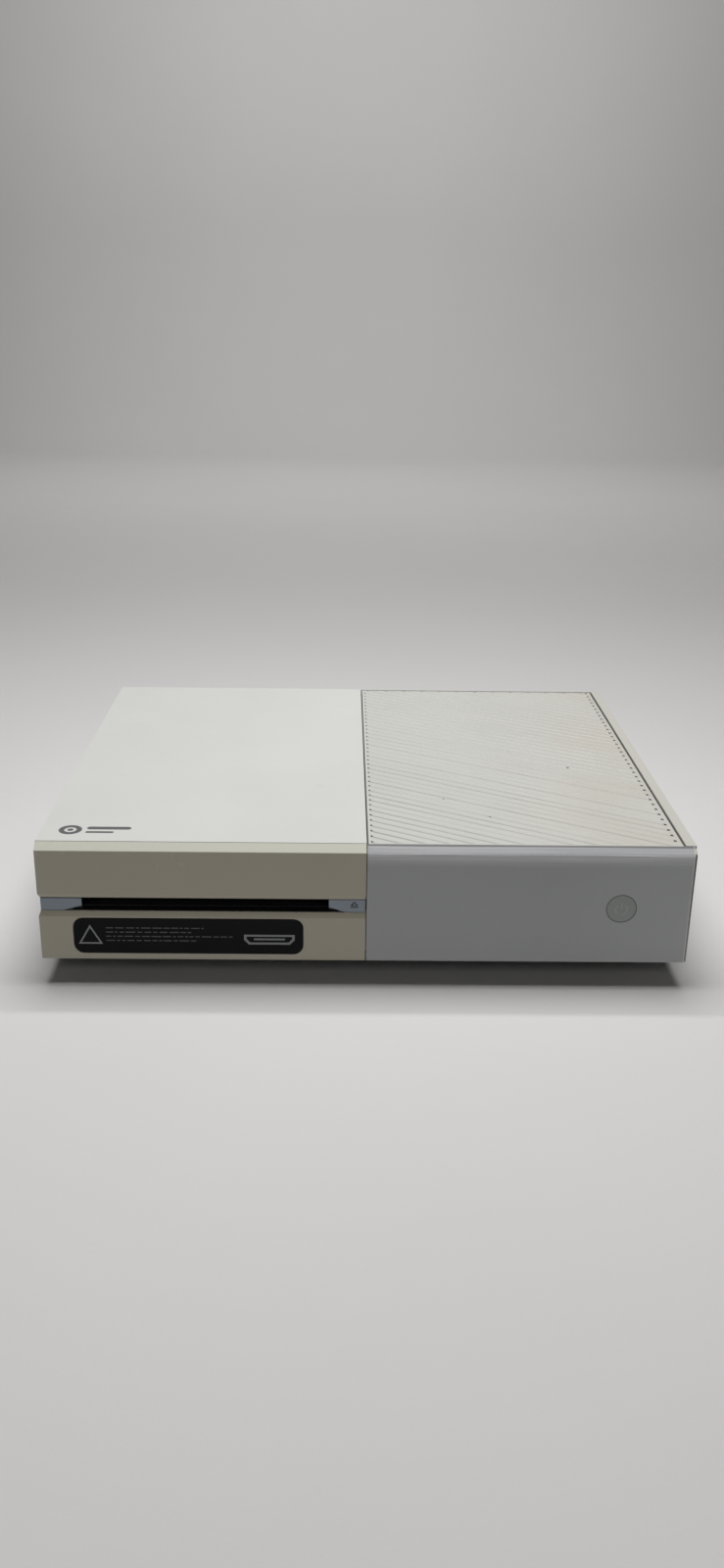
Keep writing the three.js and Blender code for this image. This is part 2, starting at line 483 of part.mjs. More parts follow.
socket("ethernet_port", "nickel", 20, [box(-6, 6, 122, 140, 3, 11.4), box(-3, 3, 122, 140, 1.4, 3.2)]);
{
  let s = box(-X1 + 0.3, -152.6, SIDE_PORT.y - 7.2, SIDE_PORT.y + 7.2, SIDE_PORT.z - 3.5, SIDE_PORT.z + 3.5);
  s = cut(s, box(-X1 - 1, -153.8, SIDE_PORT.y - 6.5, SIDE_PORT.y + 6.5, SIDE_PORT.z - 2.8, SIDE_PORT.z + 2.8));
  s = join(s, box(-165.2, -153.6, SIDE_PORT.y - 5.6, SIDE_PORT.y + 5.6, SIDE_PORT.z + 0.2, SIDE_PORT.z + 2.1));
  piece(chassis, "usb_port_side", s, "nickel");
}

// ---------------------------------------------------------------- optical drive
const drive = group();
const D = DRIVE;
let base = cut(box(D.x0, D.x1, D.y0, D.y1, D.z0, D.z1), box(D.x0 + D.t, D.x1 - D.t, D.y0 + D.t, D.y1 - D.t, D.z0 + D.t, D.z1 + 5));
base = join(
  base,
  box(D.x0 + 0.5, D.x1 - 0.5, D.y0 + 0.5, D.y1 - 0.5, 39.8, 41), // deck under the disc
);
base = cut(
  base,
  box(-112, -52, -74, 27, 39, 42), // window for turntable and sled
  box(-67.2, -56.5, -94, -73, 39, 42), // window for the sled motor
  box(-143.4, -20.3, -126.9, -116.7, 39, 42), // window for the feed roller
  box(-145.5, -18.3, -131, -128, 42.5, 49.6), // mouth
);
base = join(
  base,
  box(SLED.rod - 3, SLED.rod + 3, -76, -73, 33, 40), // supports of the guide rod
  box(SLED.rod - 3, SLED.rod + 3, 25.9, 28.5, 33, 40),
  box(SLED.screw - 3, SLED.screw + 3, 25.9, 28.5, 33, 40), // far bearing of the lead screw
  box(-147, -143.7, -125, -118.6, 33, 40), // bearings of the feed roller
  box(-20, -16.7, -125, -118.6, 33, 40),
);
piece(drive, "drive_base", base, "steel");
piece(
  drive,
  "drive_cover",
  join(
    box(D.x0, D.x1, D.y0, D.y1, 57.3, 58.3),
    rod("z", 58, 58.2, 59.1, [DISC_X, DISC_Y], 32),
    cut(rod("z", 17, 49.6, 57.5, [DISC_X, DISC_Y], 24), rod("z", 9, 49, 57, [DISC_X, DISC_Y], 24)),
  ),
  "steel",
);
piece(drive, "dust_felt_upper", box(-147, -17, -132.7, -130.4, 49.1, 52.6), "felt");
piece(drive, "dust_felt_lower", box(-147, -17, -132.7, -130.4, 39.2, 42.7), "felt");
// Rubber roller, thinner in the middle, on a steel shaft along X.
piece(
  drive,
  "feed_roller",
  solid(
    new THREE.LatheGeometry(
      [[0, -61.4], [1.2, -61.4], [1.2, -56.5], [3.3, -56.5], [2.7, 0], [3.3, 56.5], [1.2, 56.5], [1.2, 61.4], [0, 61.4]].map(([r, x]) => new THREE.Vector2(r, x)),
      16,
    ).rotateZ(-Math.PI / 2),
  ),
  "rubber",
  [DISC_X, ROLLER.y, ROLLER.z],
);
piece(drive, "spindle_motor", cut(rod("z", 12, 33.5, 38.9, [0, 0], 20), rod("z", 2, 34.6, 40, [0, 0], 10)), "steel", [DISC_X, DISC_Y, 0]);
piece(drive, "turntable", lathe([[0, -4.5], [1.4, -4.5], [1.4, 0], [14, 0], [14, 1.8], [7.3, 1.8], [7.3, 2.6], [6.3, 3.3], [0, 3.3]], 24), "black", [DISC_X, DISC_Y, 40]);
{
  const rx = SLED.rod - DISC_X;
  const sx = SLED.screw - DISC_X;
  const lug = (x) => cut(box(x - 4, x + 4, -8, 8, -3, 3), rod("y", 2.1, -9, 9, [x, 0], 10));
  piece(
    drive,
    "laser_sled",
    join(box(rx + 3.8, sx - 3.8, -9, 9, -2.8, 2.2), lug(rx), lug(sx), rod("z", 3.6, 2, 4.3, [0, 0], 16)),
    "black",
    [DISC_X, SLED.y, SLED.z],
  );
}
piece(drive, "guide_rod", rod("y", SLED.r, -72.7, 25.6, [SLED.rod, SLED.z], 10), "nickel");
piece(drive, "lead_screw", rod("y", SLED.r, -49.0, 49.6, [0, 0], 10), "nickel", [SLED.screw, -24, SLED.z]);
piece(drive, "sled_motor", rod("y", 4.6, -92, -73.4, [SLED.screw, SLED.z], 16), "steel");

// ---------------------------------------------------------------- hard disk
const disk = group();
let casting = box(HDD.x0, HDD.x1, HDD.y0, HDD.y1, HDD.z0, HDD.z1);
casting = cut(casting, rod("z", 34, 46, 55, [PLATTER.x, PLATTER.y], 32), box(-92, -50.5, 48, 110, 46, 55));
piece(disk, "hdd_case", casting, "alloy");
piece(disk, "hdd_cover", box(HDD.x0, HDD.x1, HDD.y0, HDD.y1, 51.8, 53.3), "steel");
piece(disk, "hdd_platter", join(rod("z", PLATTER.r, 2.6, 3.8, [0, 0], 32), rod("z", 9, 0.4, 4.6, [0, 0], 16)), "nickel", [PLATTER.x, PLATTER.y, 46]);
piece(
  disk,
  "hdd_arm",
  join(rod("z", 6, 0.4, 5.2, [0, 0], 14), prism("z", [[0, -5], [ARM.length, -1.6], [ARM.length, 1.6], [0, 5]], 4.3, 5.2), prism("z", [[0, -5], [-7, -8], [-7, 8], [0, 5]], 1.5, 4.5)),
  "alloy",
  [ARM.x, ARM.y, 46],
  [0, 0, (ARM.parked * Math.PI) / 180],
);
let caddy = join(box(-147, -49, 45, 113, 41.5, 43.5));
for (const [x, y] of [[-143, 50], [-53, 50], [-143, 108], [-53, 108]]) caddy = join(caddy, rod("z", 2.5, SOCKET_Z, 42, [x, y], 10));
piece(disk, "hdd_caddy", cut(caddy, box(-130, -66, 58, 100, 40, 45)), "black");

export default console_;
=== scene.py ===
import json
import math
import random

import bmesh
import bpy
from mathutils import Matrix, Vector


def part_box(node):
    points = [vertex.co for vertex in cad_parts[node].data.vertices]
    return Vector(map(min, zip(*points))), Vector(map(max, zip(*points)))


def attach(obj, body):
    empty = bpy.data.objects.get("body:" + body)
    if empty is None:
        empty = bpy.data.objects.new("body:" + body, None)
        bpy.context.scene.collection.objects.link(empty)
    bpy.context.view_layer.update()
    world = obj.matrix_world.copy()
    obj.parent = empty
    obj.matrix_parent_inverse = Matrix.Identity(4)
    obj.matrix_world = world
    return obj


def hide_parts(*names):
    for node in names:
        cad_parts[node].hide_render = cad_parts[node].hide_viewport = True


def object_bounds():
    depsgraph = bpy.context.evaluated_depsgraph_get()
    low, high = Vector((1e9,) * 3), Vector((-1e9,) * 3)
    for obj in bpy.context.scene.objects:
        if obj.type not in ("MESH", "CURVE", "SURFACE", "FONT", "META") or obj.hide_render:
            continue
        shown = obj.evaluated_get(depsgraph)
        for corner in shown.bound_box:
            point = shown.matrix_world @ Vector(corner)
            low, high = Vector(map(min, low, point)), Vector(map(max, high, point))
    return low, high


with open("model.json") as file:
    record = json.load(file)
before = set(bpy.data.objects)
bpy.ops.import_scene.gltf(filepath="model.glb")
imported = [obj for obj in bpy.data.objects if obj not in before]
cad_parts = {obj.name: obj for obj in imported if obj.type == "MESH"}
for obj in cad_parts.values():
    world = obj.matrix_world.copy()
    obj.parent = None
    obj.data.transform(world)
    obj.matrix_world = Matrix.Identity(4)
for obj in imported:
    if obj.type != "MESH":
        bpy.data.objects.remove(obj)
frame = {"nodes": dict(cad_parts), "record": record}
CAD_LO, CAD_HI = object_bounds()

random.seed(7)
S = bpy.context.scene
NODES = frame["nodes"]
BODY_OF = {n: b for b, ns in frame["record"]["behaviour"]["bodies"].items() for n in ns}
SLOT_OF = {s["node"]: s["material_slot"] for s in frame["record"]["subparts"]}
MM = 0.001
X1, Y1, TOP = CAD_HI.x, CAD_HI.y, CAD_HI.z  # half width, half depth, height

# ---------------------------------------------------------------- camera
CAM_AT = Vector((-13.61757509, -721.87793621, 335.10354422)) * MM
YAW, PITCH, ROLL = (math.radians(a) for a in (1.02144281, 20.84054654, 0.89035426))
fw = Vector((math.sin(YAW) * math.cos(PITCH), math.cos(YAW) * math.cos(PITCH), -math.sin(PITCH)))
right = Vector((math.cos(YAW), -math.sin(YAW), 0))
up = right.cross(fw)
r = math.cos(ROLL) * right + math.sin(ROLL) * up
u = -math.sin(ROLL) * right + math.cos(ROLL) * up
cam = bpy.data.objects.new("camera", bpy.data.cameras.new("camera"))
S.collection.objects.link(cam)
cam.data.sensor_width = 36
cam.data.sensor_fit = "AUTO"
cam.data.lens = 1303.418 * 36 / 1600
cam.data.clip_start, cam.data.clip_end = 0.01, 50
cam.matrix_world = Matrix(((r.x, u.x, -fw.x, CAM_AT.x), (r.y, u.y, -fw.y, CAM_AT.y), (r.z, u.z, -fw.z, CAM_AT.z), (0, 0, 0, 1)))
S.camera = cam
S.view_settings.view_transform = "Standard"

# ---------------------------------------------------------------- materials
MATS = {}


class Tree:
    """Short names for building one node material."""

    def __init__(self, name):
        self.mat = bpy.data.materials.new(name)
        self.mat.use_nodes = True
        self.nt = self.mat.node_tree
        self.nt.nodes.clear()
        self.out = self.node("ShaderNodeOutputMaterial")
        self.bsdf = self.node("ShaderNodeBsdfPrincipled")
        self.link(self.bsdf.outputs[0], self.out.inputs["Surface"])
        self.coord = self.node("ShaderNodeTexCoord").outputs["Object"]
        self.heights = []
        MATS[name] = self.mat

    def node(self, kind, **values):
        n = self.nt.nodes.new(kind)
        for k, v in values.items():
            setattr(n, k, v)
        return n

    def link(self, a, b):
        self.nt.links.new(a, b)

    def put(self, socket, value):
        if hasattr(value, "is_linked"):
            self.link(value, socket)
        else:
            socket.default_value = value

    def scaled(self, scale):
        m = self.node("ShaderNodeMapping")
        m.inputs["Scale"].default_value = scale if hasattr(scale, "__len__") else (scale,) * 3
        self.link(self.coord, m.inputs["Vector"])
        return m.outputs[0]

    def noise(self, scale, detail=3, rough=0.55, stretch=(1, 1, 1)):
        n = self.node("ShaderNodeTexNoise")
        self.link(self.scaled(tuple(scale * s for s in stretch)), n.inputs["Vector"])
        n.inputs["Scale"].default_value = 1
        n.inputs["Detail"].default_value = detail
        n.inputs["Roughness"].default_value = rough
        return n.outputs["Fac"]

    def voronoi(self, scale, feature="F1"):
        n = self.node("ShaderNodeTexVoronoi", feature=feature)
        self.link(self.scaled(scale), n.inputs["Vector"])
        n.inputs["Scale"].default_value = 1
        return n.outputs["Distance"]

    def remap(self, value, a, b, c, d, smooth=False):
        n = self.node("ShaderNodeMapRange")
        if smooth:
            n.interpolation_type = "SMOOTHSTEP"
        self.put(n.inputs["Value"], value)
        for k, v in zip(("From Min", "From Max", "To Min", "To Max"), (a, b, c, d)):
            n.inputs[k].default_value = v
        return n.outputs["Result"]

    def math(self, op, a, b=0.0):
        n = self.node("ShaderNodeMath", operation=op)
        self.put(n.inputs[0], a)
        self.put(n.inputs[1], b)
        return n.outputs[0]

    def axis(self, k):
        n = self.node("ShaderNodeSeparateXYZ")
        self.link(self.coord, n.inputs[0])
        return n.outputs[k]

    def mix(self, fac, a, b, kind="MIX"):
        n = self.node("ShaderNodeMix", data_type="RGBA", blend_type=kind)
        self.put(n.inputs["Factor"], fac)
        for s, v in ((n.inputs[6], a), (n.inputs[7], b)):
            if hasattr(v, "is_linked"):
                self.link(v, s)
            else:
                s.default_value = (*v[:3], 1)
        return n.outputs[2]

    def bump(self, height, distance, strength=1.0):
        """Adds a height, in metres, to the surface normal."""
        n = self.node("ShaderNodeBump")
        n.inputs["Strength"].default_value = strength
        n.inputs["Distance"].default_value = distance
        self.link(height, n.inputs["Height"])
        if self.heights:
            self.link(self.heights[-1], n.inputs["Normal"])
        self.heights.append(n.outputs[0])
        self.link(n.outputs[0], self.bsdf.inputs["Normal"])

    def set(self, **values):
        for k, v in values.items():
            self.put(self.bsdf.inputs[k.replace("_", " ")], v)


def col(*c):
    return (*c, 1.0)


def plastic(name, base, rough, grain=0.000012, grain_scale=2600, mottle=0.05, dirt=0.10, dirt_tone=(0.36, 0.33, 0.27), coat=0.0, ior=1.46, wave=0.00002, vary=0.06):
    """Moulded plastic: fine grain, slow colour variation, light handling marks."""
    t = Tree(name)
    slow = t.noise(9, 3)
    fine = t.noise(140, 4)
    lighter = tuple(min(1, c * (1 + mottle)) for c in base)
    darker = tuple(c * (1 - mottle) for c in base)
    c = t.mix(t.remap(slow, 0.35, 0.65, 0, 1), darker, lighter)
    marks = t.math("MULTIPLY", t.remap(fine, 0.56, 0.74, 0, 1, True), t.remap(t.noise(23, 2), 0.45, 0.7, 0, dirt, True))
    c = t.mix(marks, c, dirt_tone)
    t.set(Base_Color=c, Roughness=t.remap(t.math("ADD", slow, t.math("MULTIPLY", fine, 0.5)), 0.5, 1.0, rough - vary, rough + vary), IOR=ior)
    if coat:
        t.bsdf.inputs["Coat Weight"].default_value = coat
        t.bsdf.inputs["Coat Roughness"].default_value = 0.12
    t.bump(t.noise(grain_scale, 2, 0.6), grain)
    t.bump(t.noise(60, 2), wave)
    return t


def build_materials():
    # warm white casing, yellowed along the top of the right rim strip
    t = plastic("case_white", (0.60, 0.602, 0.575), 0.42, grain=0.000014, grain_scale=3200, mottle=0.018, dirt=0.10)
    rim = t.remap(t.axis(0), 0.158, 0.1605, 0, 1)
    high = t.remap(t.axis(2), 0.0775, 0.0785, 0, 1)
    aged = t.math("MULTIPLY", rim, high)
    src = t.bsdf.inputs["Base Color"].links[0].from_socket
    t.set(Base_Color=t.mix(t.math("MULTIPLY", aged, 0.8), src, (0.52, 0.505, 0.45)))

    t = plastic("bezel_white", (0.40, 0.373, 0.295), 0.26, grain=0.000006, grain_scale=2200, mottle=0.012, dirt=0.02, wave=0.000004, vary=0.02, dirt_tone=(0.34, 0.30, 0.23), coat=0.25)
    src = t.bsdf.inputs["Base Color"].links[0].from_socket
    # painted light: above z 75 mm the chamfer is painted a much lighter tone than the front face, so the same plastic
    # gets a lit tone on the chamfer and a darker shaded tone on the front
    c = t.mix(t.remap(t.axis(2), 0.0749, 0.0755, 0, 1), src, (0.655, 0.65, 0.56))
    # painted shade: behind the front plane, inside the slot band between z 41.9 and 49.3 mm and left of x 0, the bezel
    # is painted near-black and loses its coat, for the shade in the disc slot recess
    inner = t.math("MULTIPLY", t.remap(t.axis(1), -0.13692, -0.13688, 0, 1), t.math("MULTIPLY", t.remap(t.axis(2), 0.04185, 0.04190, 0, 1), t.remap(t.axis(2), 0.04925, 0.04930, 1, 0)))
    inner = t.math("MULTIPLY", inner, t.remap(t.axis(0), -0.0001, 0.0001, 1, 0))
    # painted shade: the front's far right edge strip beyond x 165.3 mm is painted dark grey, darker towards the top,
    # for the shade on that edge
    edge = t.math("MULTIPLY", t.remap(t.axis(0), 0.16525, 0.16535, 0, 1), t.math("MULTIPLY", t.remap(t.axis(1), -0.1357, -0.1352, 1, 0), t.remap(t.axis(2), 0.020, 0.055, 0.5, 0.95)))
    c = t.mix(edge, c, (0.11, 0.11, 0.105))
    t.set(Base_Color=t.mix(inner, c, (0.004, 0.004, 0.005)), Coat_Weight=t.remap(inner, 0, 1, 0.25, 0.0))
    t = plastic("vent_white", (0.522, 0.522, 0.488), 0.5, grain=0.00001, grain_scale=2600, mottle=0.03, dirt=0.25, dirt_tone=(0.36, 0.31, 0.24))
    src = t.bsdf.inputs["Base Color"].links[0].from_socket
    yellow = t.math("MULTIPLY", t.remap(t.axis(0), 0.05, 0.165, 0, 0.55, True), t.remap(t.noise(14, 3), 0.4, 0.62, 0.25, 1, True))
    t.set(Base_Color=t.mix(yellow, src, (0.52, 0.475, 0.41)))
    src = t.bsdf.inputs["Base Color"].links[0].from_socket
    # painted shade: the walls between z 77.3 and 78.2 mm, down in the slat grooves and the frame groove, are painted
    # patchily darker for the shade in the grooves
    groove_painted_shade = t.math("MULTIPLY", t.remap(t.axis(2), 0.07815, 0.07848, 1, 0), t.remap(t.axis(2), 0.0772, 0.0773, 0, 1))
    groove_painted_shade = t.math("MULTIPLY", groove_painted_shade, t.remap(t.noise(20, 2), 0.35, 0.65, 0.18, 0.6))
    t.set(Base_Color=t.mix(groove_painted_shade, src, (0.25, 0.245, 0.225)))

    # protective film: hazy, with drawn-out horizontal streaks, a painted highlight towards its fold and a lighter
    # painted tone over the chamfer
    t = Tree("clear_film")
    streak = t.noise(60, 3, 0.5, (0.3, 1, 1.6))
    broad = t.noise(11, 3, 0.5, (0.6, 1, 2))
    c = t.mix(t.remap(broad, 0.35, 0.65, 0, 1), (0.455, 0.463, 0.468), (0.467, 0.475, 0.48))
    c = t.mix(t.remap(t.axis(0), 0.09, 0.165, 0, 0.3), c, (0.62, 0.63, 0.645))
    # painted highlight: lighter towards the fold, with a few fine drawn lines, and a lighter tone than the front over
    # the chamfer where it faces the lamps
    wave = t.math("ADD", t.axis(2), t.math("MULTIPLY", t.math("SUBTRACT", t.noise(16, 2, 0.5, (1, 0.2, 0.2)), 0.5), 0.0022))
    fold = t.math("POWER", t.remap(wave, 0.0684, 0.0749, 0, 1), 1.25)
    lines = t.remap(t.noise(1, 2, 0.5, (14, 14, 1500)), 0.40, 0.6, 0.5, 1.0, True)
    tone = t.mix(t.remap(t.axis(2), 0.0749, 0.0756, 0, 1), (0.87, 0.87, 0.89), (0.62, 0.62, 0.635))
    c = t.mix(t.math("MULTIPLY", fold, lines), c, tone)
    # painted shade: a dark line along the film's top edge towards the lid, for the shaded gap between film and lid
    c = t.mix(t.remap(t.axis(1), -0.13405, -0.1338, 0, 0.7), c, (0.18, 0.18, 0.185))
    # painted highlight: a bright line along the film's right cut edge
    c = t.mix(t.remap(t.axis(0), 0.16478, 0.16485, 0, 0.8), c, (0.85, 0.85, 0.85))
    t.set(Base_Color=c, Roughness=t.remap(streak, 0.3, 0.7, 0.34, 0.42), IOR=1.45)
    t.bsdf.inputs["Alpha"].default_value = 0.72
    t.bsdf.inputs["Coat Weight"].default_value = 0.3
    t.bsdf.inputs["Coat Roughness"].default_value = 0.15
    t.bump(streak, 0.000015)
    t.bump(broad, 0.00005)

    plastic("dark_gloss", (0.215, 0.26, 0.305), 0.2, grain=0.000003, mottle=0.04, dirt=0.12, dirt_tone=(0.2, 0.2, 0.2), coat=0.6)
    plastic("touch_disc", (0.27, 0.285, 0.275), 0.3, grain=0.00001, mottle=0.06, dirt=0.2, coat=0.1)
    t = plastic("label_black", (0.0035, 0.004, 0.0055), 0.5, grain=0.000008, mottle=0.2, dirt=0.05, dirt_tone=(0.02, 0.02, 0.022), ior=1.3)
    t.bsdf.inputs["Specular IOR Level"].default_value = 0.28
    plastic("print_grey", (0.24, 0.245, 0.25), 0.5, grain=0.000004, mottle=0.08, dirt=0.2, dirt_tone=(0.2, 0.2, 0.2))
    plastic("print_dark", (0.10, 0.10, 0.105), 0.5, grain=0.000004, mottle=0.1, dirt=0.2, dirt_tone=(0.3, 0.3, 0.28))
    plastic("print_dim", (0.075, 0.076, 0.08), 0.5, grain=0.000004, mottle=0.1, dirt=0.1, dirt_tone=(0.03, 0.03, 0.03))
    plastic("print_faint", (0.345, 0.36, 0.35), 0.35, grain=0.000004, mottle=0.05, dirt=0.1)
    plastic("black_plastic", (0.016, 0.016, 0.017), 0.48, grain=0.00002, grain_scale=1500, mottle=0.2, dirt=0.25, dirt_tone=(0.07, 0.065, 0.06))
    plastic("foot_rubber", (0.012, 0.012, 0.012), 0.82, grain=0.00004, grain_scale=900, mottle=0.3, dirt=0.4, dirt_tone=(0.09, 0.085, 0.08))

    # dust felt: matted fibres, also used as painted shade in the vent notches, under the vent openings and in the joint
    # strips
    t = Tree("felt")
    fibre = t.noise(900, 5, 0.7, (1, 1, 0.15))
    t.set(Base_Color=t.mix(fibre, (0.003, 0.003, 0.0035), (0.012, 0.012, 0.013)), Roughness=0.97)
    t.bsdf.inputs["Sheen Weight"].default_value = 0.15
    t.bump(fibre, 0.0002)

    # zinc-plated sheet, its crystals faint and its rolling marks fine
    for name, base, rough in (("sheet_steel", (0.42, 0.43, 0.44), 0.38), ("steel_painted_shade", (0.02, 0.02, 0.022), 0.5)):
        t = Tree(name)
        roll = t.noise(500, 3, 0.6, (1, 0.04, 1))
        spangle = t.voronoi(120)
        c = t.mix(t.remap(spangle, 0, 0.9, 0, 1), tuple(b * 0.88 for b in base), tuple(min(1, b * 1.08) for b in base))
        t.set(Base_Color=c, Roughness=t.remap(t.math("ADD", roll, spangle), 0.4, 1.4, rough - 0.08, rough + 0.12))
        t.bsdf.inputs["Metallic"].default_value = 0.95 if name == "sheet_steel" else 0.2
        t.bump(roll, 0.00002)

    t = Tree("alloy")
    roll = t.noise(400, 3, 0.6, (1, 0.03, 1))
    t.set(Base_Color=t.mix(roll, (0.50, 0.51, 0.52), (0.60, 0.61, 0.62)), Roughness=t.remap(roll, 0.3, 0.7, 0.25, 0.45))
    t.bsdf.inputs["Metallic"].default_value = 1.0
    t.bump(roll, 0.00003)

    # plated metal; socket shells turn to black plastic inside their mouths
    for name in ("bright_metal", "port_metal"):
        t = Tree(name)
        scratch = t.noise(260, 3, 0.6, (1, 0.15, 1))
        c = t.mix(t.noise(60), (0.46, 0.455, 0.44), (0.54, 0.535, 0.52))
        if name == "port_metal":
            mouth = t.math("MAXIMUM", t.remap(t.axis(1), 0.1354, 0.1356, 0, 1), t.remap(t.axis(0), -0.1652, -0.1650, 1, 0))
            c = t.mix(mouth, (0.012, 0.012, 0.013), c)
        t.set(Base_Color=c, Roughness=t.remap(scratch, 0.3, 0.7, 0.3, 0.44))
        t.bsdf.inputs["Metallic"].default_value = 0.9
        t.bump(scratch, 0.000004)

    t = Tree("gold_contact")
    t.set(Base_Color=t.mix(t.noise(90), (0.72, 0.50, 0.18), (0.80, 0.60, 0.26)), Roughness=t.remap(t.noise(800), 0.3, 0.7, 0.18, 0.34))
    t.bsdf.inputs["Metallic"].default_value = 1.0
    t.bump(t.noise(900), 0.000004)

    # circuit board: solder mask over traces and pads
    t = Tree("circuit_board")
    brick = t.node("ShaderNodeTexBrick")
    t.link(t.scaled(260), brick.inputs["Vector"])
    brick.inputs["Scale"].default_value = 1
    brick.inputs["Mortar Size"].default_value = 0.035
    traces = t.math("MULTIPLY", t.remap(brick.outputs["Fac"], 0, 1, 0, 1), t.remap(t.noise(40, 1), 0.45, 0.55, 0, 1))
    pads = t.remap(t.voronoi(420), 0.10, 0.16, 1, 0)
    c = t.mix(traces, (0.010, 0.055, 0.028), (0.022, 0.11, 0.055))
    c = t.mix(t.math("MULTIPLY", pads, t.remap(t.noise(55, 1), 0.5, 0.56, 0, 1)), c, (0.45, 0.44, 0.40))
    t.set(Base_Color=c, Roughness=t.remap(t.noise(300), 0.3, 0.7, 0.3, 0.5))
    t.bump(traces, 0.00003)


build_materials()
LOOK = {"circuit_board": "circuit_board", "label": "label_black"}
for node, obj in NODES.items():
    look = LOOK.get(SLOT_OF[node], SLOT_OF[node])
    # painted shade: the drive base and cover take the near-black steel so the inside of the disc slot reads dark
    if node in ("drive_base", "drive_cover"):
        look = "steel_painted_shade"
    if look == "bright_metal" and "port" in node:
        look = "port_metal"
    obj.data.materials.clear()
    obj.data.materials.append(MATS[look])


# ---------------------------------------------------------------- mesh helpers
def finish_mesh(name, bm, look, body="console", smooth_deg=35, recalc=True):
    """Turns a bmesh, in millimetres in the row frame, into a piece that rides on a body."""
    if recalc:
        bmesh.ops.recalc_face_normals(bm, faces=bm.faces)
    me = bpy.data.meshes.new(name)
    bmesh.ops.scale(bm, vec=(MM,) * 3, verts=bm.verts)
    bm.to_mesh(me)
    bm.free()
    o = bpy.data.objects.new(name, me)
    S.collection.objects.link(o)
    for p in me.polygons:
        p.use_smooth = True
    me.set_sharp_from_angle(angle=math.radians(smooth_deg))
    for m in [look] if isinstance(look, str) else look:
        me.materials.append(MATS[m])
    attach(o, body)
    return o


def prism(bm, outline, w0, w1, place=lambda u, v, w: (u, v, w)):
    """Closed prism of a convex or simple outline between two levels."""
    a = [bm.verts.new(place(u, v, w0)) for u, v in outline]
    b = [bm.verts.new(place(u, v, w1)) for u, v in outline]
    bm.faces.new(a[::-1])
    bm.faces.new(b)
    n = len(outline)
    for i in range(n):
        bm.faces.new((a[i], a[(i + 1) % n], b[(i + 1) % n], b[i]))
    return a + b


def ring(bm, outer, inner, w0, w1, place=lambda u, v, w: (u, v, w)):
    """Closed band between two outlines of the same count."""
    n = len(outer)
    v = [[bm.verts.new(place(p[0], p[1], w)) for p in loop] for loop, w in ((outer, w0), (inner, w0), (outer, w1), (inner, w1))]
    o0, i0, o1, i1 = v
    for i in range(n):
        j = (i + 1) % n
        bm.faces.new((o0[i], o0[j], o1[j], o1[i]))
        bm.faces.new((i0[j], i0[i], i1[i], i1[j]))
        bm.faces.new((o1[i], o1[j], i1[j], i1[i]))
        bm.faces.new((o0[j], o0[i], i0[i], i0[j]))


def circle(cu, cv, r, n=32, a0=0.0, a1=360.0):
    full = abs(a1 - a0 - 360) < 1e-6
    k = n if full else n + 1
    return [(cu + r * math.cos(math.radians(a0 + (a1 - a0) * i / n)), cv + r * math.sin(math.radians(a0 + (a1 - a0) * i / n))) for i in range(k)]


def round_rect(u0, u1, v0, v1, r, n=6):
    out = []
    for cu, cv, s in ((u1 - r, v0 + r, -90), (u1 - r, v1 - r, 0), (u0 + r, v1 - r, 90), (u0 + r, v0 + r, 180)):
        out += [(cu + r * math.cos(math.radians(s + 90 * i / n)), cv + r * math.sin(math.radians(s + 90 * i / n))) for i in range(n + 1)]
    return out


def bevelled(o, width, segments=2, angle=30, weld=True):
    """Small rounded edges on a piece, or on a CAD node by modifiers alone."""
    if weld:
        w = o.modifiers.new("weld", "WELD")
        w.merge_threshold = 0.00001
    b = o.modifiers.new("edge", "BEVEL")
    b.width = width * MM
    b.segments = segments
    b.limit_method = "ANGLE"
    b.angle_limit = math.radians(angle)
    b.miter_outer = "MITER_ARC"
    b.harden_normals = False
    return o


